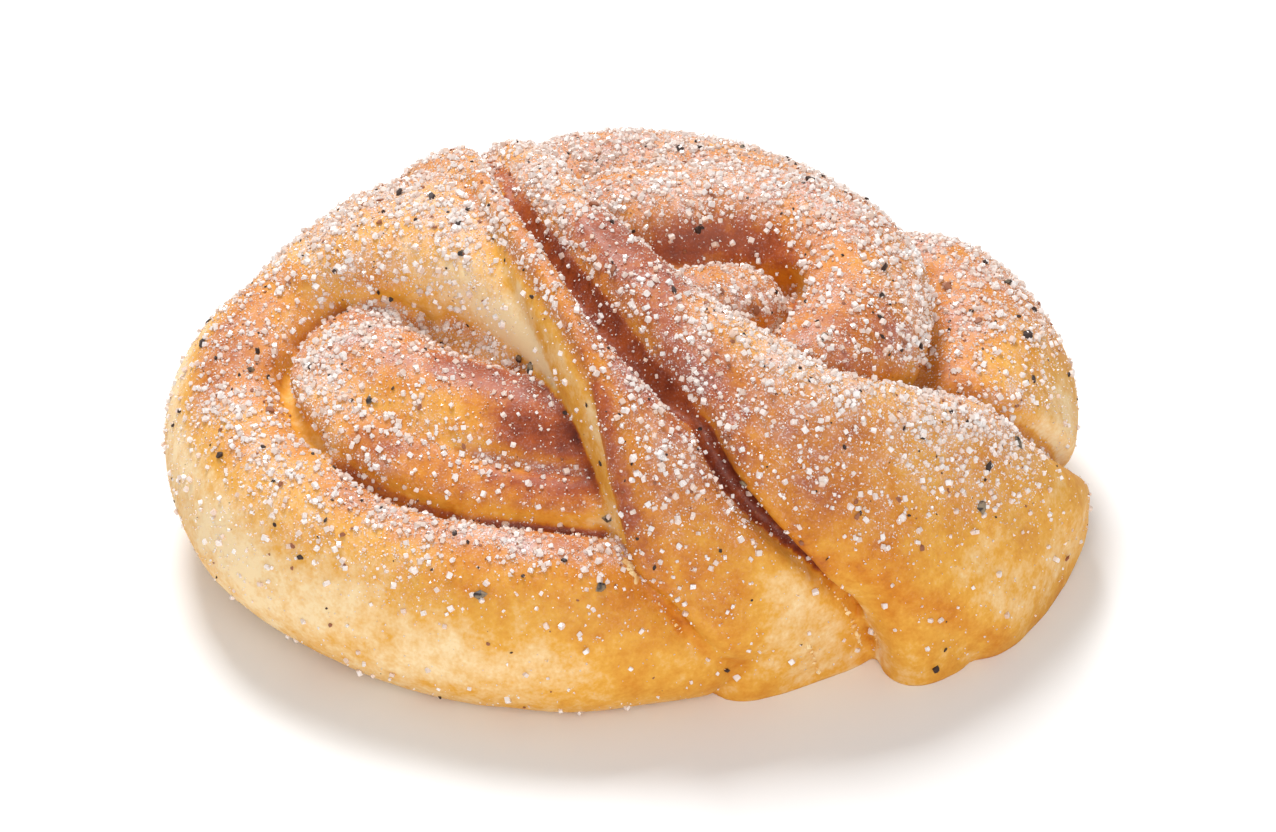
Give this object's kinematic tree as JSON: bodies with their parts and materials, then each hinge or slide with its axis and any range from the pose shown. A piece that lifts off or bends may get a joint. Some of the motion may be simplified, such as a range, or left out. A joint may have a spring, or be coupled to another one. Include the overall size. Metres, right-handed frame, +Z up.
{
  "type": "cardamom bun",
  "caption": "Oval baked cardamom bun: two coils of plaited dough under a pair of flat diagonal straps, on a flat base.",
  "frame": {"origin": "centre of the footprint's box, on the flat base", "axes": "+Z up from the base; +X along the long side, towards the coil behind the wide strap; -Y towards the straps' wide front ends"},
  "size_m": [0.11, 0.09, 0.042],
  "materials": {
    "crust": "baked dough crust, golden on top and pale at the sides, with sugar on it",
    "sugar": "granulated sugar crystals",
    "cardamom": "crushed cardamom seed, matt"
  },
  "bodies": {
    "root": {"bun": "crust"}
  },
  "joints": []
}
